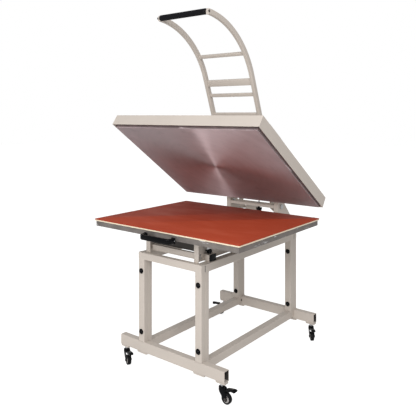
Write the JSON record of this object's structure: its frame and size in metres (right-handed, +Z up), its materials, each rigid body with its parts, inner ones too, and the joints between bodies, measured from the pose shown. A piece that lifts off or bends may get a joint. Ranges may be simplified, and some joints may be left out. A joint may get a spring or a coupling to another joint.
{
  "type": "heat press",
  "caption": "Clamshell heat press: tilting heated platen with a ladder lever over a pull-out padded bed, on a castered tube stand.",
  "frame": {"origin": "on the floor, under the middle of the bounding box of the press at rest", "axes": "+Z up; +Y from the operator towards the hinge; +X to the operator's right"},
  "size_m": [1.024, 1.078, 1.9411],
  "materials": {
    "beige_coat": "satin powder coat",
    "cast_aluminium": "bare, brushed and lightly scratched",
    "bright_steel": "zinc plated",
    "dark_steel": "dark primer",
    "black_plastic": "gloss",
    "caster_tyre": "matte rubber",
    "grey_plastic": "matte",
    "red_silicone": "matte silicone sponge",
    "cream_felt": "felt",
    "white_insulation": "fibre blanket"
  },
  "bodies": {
    "stand": {"front_foot_beam": "beige_coat", "front_upright_frame": "beige_coat", "rear_foot_beam": "beige_coat", "rear_upright_frame": "beige_coat", "left_side_frame": "beige_coat", "left_base_plate": "beige_coat", "left_pivot_bracket": "beige_coat", "left_counter_spring": "bright_steel", "right_side_frame": "beige_coat", "right_base_plate": "beige_coat", "right_pivot_bracket": "beige_coat", "right_counter_spring": "bright_steel", "front_crossbar": "beige_coat", "front_tie_plate": "dark_steel", "main_shaft": "bright_steel", "rear_crossbar": "beige_coat", "spring_anchor_bar": "beige_coat", "junction_box": "beige_coat", "inlet_gland": "black_plastic"},
    "table": {"table_plate": "cast_aluminium", "felt_pad": "cream_felt", "silicone_sheet": "red_silicone", "pull_handle": "black_plastic", "left_slide_runner": "bright_steel", "right_slide_runner": "bright_steel"},
    "platen": {"yoke": "beige_coat", "heating_plate": "cast_aluminium", "heating_element": "bright_steel", "insulation_blanket": "white_insulation", "platen_cover": "beige_coat", "lever_pin": "bright_steel", "control_box": "beige_coat"},
    "lever": {"ladder_lever": "beige_coat", "ladder_grip": "black_plastic"},
    "adjuster": {"height_adjuster": "black_plastic"},
    "pressure_screw": {"pressure_knob": "black_plastic"},
    "front_left_roller": {"front_left_slide_roller": "black_plastic"},
    "front_right_roller": {"front_right_slide_roller": "black_plastic"},
    "rear_left_roller": {"rear_left_slide_roller": "black_plastic"},
    "rear_right_roller": {"rear_right_slide_roller": "black_plastic"},
    "front_left_fork": {"front_left_caster_fork": "black_plastic"},
    "front_left_wheel": {"front_left_caster_hub": "grey_plastic", "front_left_caster_tyre": "caster_tyre"},
    "front_left_brake": {"front_left_caster_pedal": "black_plastic"},
    "front_right_fork": {"front_right_caster_fork": "black_plastic"},
    "front_right_wheel": {"front_right_caster_hub": "grey_plastic", "front_right_caster_tyre": "caster_tyre"},
    "front_right_brake": {"front_right_caster_pedal": "black_plastic"},
    "rear_left_fork": {"rear_left_caster_fork": "black_plastic"},
    "rear_left_wheel": {"rear_left_caster_hub": "grey_plastic", "rear_left_caster_tyre": "caster_tyre"},
    "rear_left_brake": {"rear_left_caster_pedal": "black_plastic"},
    "rear_right_fork": {"rear_right_caster_fork": "black_plastic"},
    "rear_right_wheel": {"rear_right_caster_hub": "grey_plastic", "rear_right_caster_tyre": "caster_tyre"},
    "rear_right_brake": {"rear_right_caster_pedal": "black_plastic"},
    "set_key": {"set_button": "grey_plastic"},
    "raise_key": {"raise_button": "grey_plastic"},
    "lower_key": {"lower_button": "grey_plastic"},
    "switch_rocker": {"power_switch": "black_plastic"}
  },
  "joints": [
    {"name": "table_slide", "type": "slide", "parent": "stand", "child": "table", "axis": [0, -1, 0], "range_m": [0, 0.35]},
    {"name": "platen_hinge", "type": "hinge", "parent": "stand", "child": "platen", "pos_m": [0, 0.391, 0.8206], "axis": [1, 0, 0], "range_deg": [0, 35.28], "stiffness_Nm_per_rad": 250, "springref_deg": -126.05, "deforming": ["left_counter_spring", "right_counter_spring"]},
    {"name": "lever_hinge", "type": "hinge", "parent": "platen", "child": "lever", "pos_m": [0, 0.32602, 0.99914], "axis": [1, 0, 0], "range_deg": [0, 18], "stiffness_Nm_per_rad": 60, "springref_deg": -91.67},
    {"name": "height_adjuster_turn", "type": "hinge", "parent": "stand", "child": "adjuster", "pos_m": [0.05, 0.3658, 0.8206], "axis": [0, 0, 1], "range_deg": [-360, 360]},
    {"name": "pressure_knob_turn", "type": "hinge", "parent": "platen", "child": "pressure_screw", "pos_m": [0, 0.04517, 1.18018], "axis": [0, 0.5776, 0.8163], "range_deg": [-360, 360]},
    {"name": "front_left_roller_spin", "type": "hinge", "parent": "stand", "child": "front_left_roller", "pos_m": [-0.192, -0.324, 0.6913], "axis": [1, 0, 0], "continuous": true},
    {"name": "front_right_roller_spin", "type": "hinge", "parent": "stand", "child": "front_right_roller", "pos_m": [0.192, -0.324, 0.6913], "axis": [1, 0, 0], "continuous": true},
    {"name": "rear_left_roller_spin", "type": "hinge", "parent": "stand", "child": "rear_left_roller", "pos_m": [-0.192, -0.079, 0.6913], "axis": [1, 0, 0], "continuous": true},
    {"name": "rear_right_roller_spin", "type": "hinge", "parent": "stand", "child": "rear_right_roller", "pos_m": [0.192, -0.079, 0.6913], "axis": [1, 0, 0], "continuous": true},
    {"name": "front_left_swivel", "type": "hinge", "parent": "stand", "child": "front_left_fork", "pos_m": [-0.333, -0.4045, 0.103], "axis": [0, 0, 1], "continuous": true},
    {"name": "front_left_wheel_spin", "type": "hinge", "parent": "front_left_fork", "child": "front_left_wheel", "pos_m": [-0.30783, -0.41677, 0.0266], "axis": [0.4384, 0.8988, 0], "continuous": true},
    {"name": "front_left_brake_pedal", "type": "hinge", "parent": "front_left_fork", "child": "front_left_brake", "pos_m": [-0.3064, -0.41748, 0.0672], "axis": [0.4384, 0.8988, 0], "range_deg": [0, 12]},
    {"name": "front_right_swivel", "type": "hinge", "parent": "stand", "child": "front_right_fork", "pos_m": [0.333, -0.4045, 0.103], "axis": [0, 0, 1], "continuous": true},
    {"name": "front_right_wheel_spin", "type": "hinge", "parent": "front_right_fork", "child": "front_right_wheel", "pos_m": [0.361, -0.4045, 0.0266], "axis": [0, 1, 0], "continuous": true},
    {"name": "front_right_brake_pedal", "type": "hinge", "parent": "front_right_fork", "child": "front_right_brake", "pos_m": [0.3626, -0.4045, 0.0672], "axis": [0, 1, 0], "range_deg": [0, 12]},
    {"name": "rear_left_swivel", "type": "hinge", "parent": "stand", "child": "rear_left_fork", "pos_m": [-0.333, 0.52, 0.103], "axis": [0, 0, 1], "continuous": true},
    {"name": "rear_left_wheel_spin", "type": "hinge", "parent": "rear_left_fork", "child": "rear_left_wheel", "pos_m": [-0.35506, 0.50276, 0.0266], "axis": [0.6157, -0.788, 0], "continuous": true},
    {"name": "rear_left_brake_pedal", "type": "hinge", "parent": "rear_left_fork", "child": "rear_left_brake", "pos_m": [-0.35633, 0.50178, 0.0672], "axis": [0.6157, -0.788, 0], "range_deg": [0, 12]},
    {"name": "rear_right_swivel", "type": "hinge", "parent": "stand", "child": "rear_right_fork", "pos_m": [0.333, 0.52, 0.103], "axis": [0, 0, 1], "continuous": true},
    {"name": "rear_right_wheel_spin", "type": "hinge", "parent": "rear_right_fork", "child": "rear_right_wheel", "pos_m": [0.35024, 0.49794, 0.0266], "axis": [0.788, 0.6157, 0], "continuous": true},
    {"name": "rear_right_brake_pedal", "type": "hinge", "parent": "rear_right_fork", "child": "rear_right_brake", "pos_m": [0.35122, 0.49667, 0.0672], "axis": [0.788, 0.6157, 0], "range_deg": [0, 12]},
    {"name": "set_button_press", "type": "slide", "parent": "platen", "child": "set_key", "axis": [0, -0.5776, -0.8163], "range_m": [0, 0.0015], "stiffness_N_per_m": 400, "springref_m": -0.001},
    {"name": "raise_button_press", "type": "slide", "parent": "platen", "child": "raise_key", "axis": [0, -0.5776, -0.8163], "range_m": [0, 0.0015], "stiffness_N_per_m": 400, "springref_m": -0.001},
    {"name": "lower_button_press", "type": "slide", "parent": "platen", "child": "lower_key", "axis": [0, -0.5776, -0.8163], "range_m": [0, 0.0015], "stiffness_N_per_m": 400, "springref_m": -0.001},
    {"name": "power_switch_rock", "type": "hinge", "parent": "platen", "child": "switch_rocker", "pos_m": [0.4248, -0.13862, 1.32002], "axis": [1, 0, 0], "range_deg": [0, 12]}
  ],
  "couplings": [
    {"joint": "front_left_roller_spin", "follows": "table_slide", "rad_per_m": 76.923},
    {"joint": "front_right_roller_spin", "follows": "table_slide", "rad_per_m": 76.923},
    {"joint": "rear_left_roller_spin", "follows": "table_slide", "rad_per_m": 76.923},
    {"joint": "rear_right_roller_spin", "follows": "table_slide", "rad_per_m": 76.923}
  ]
}
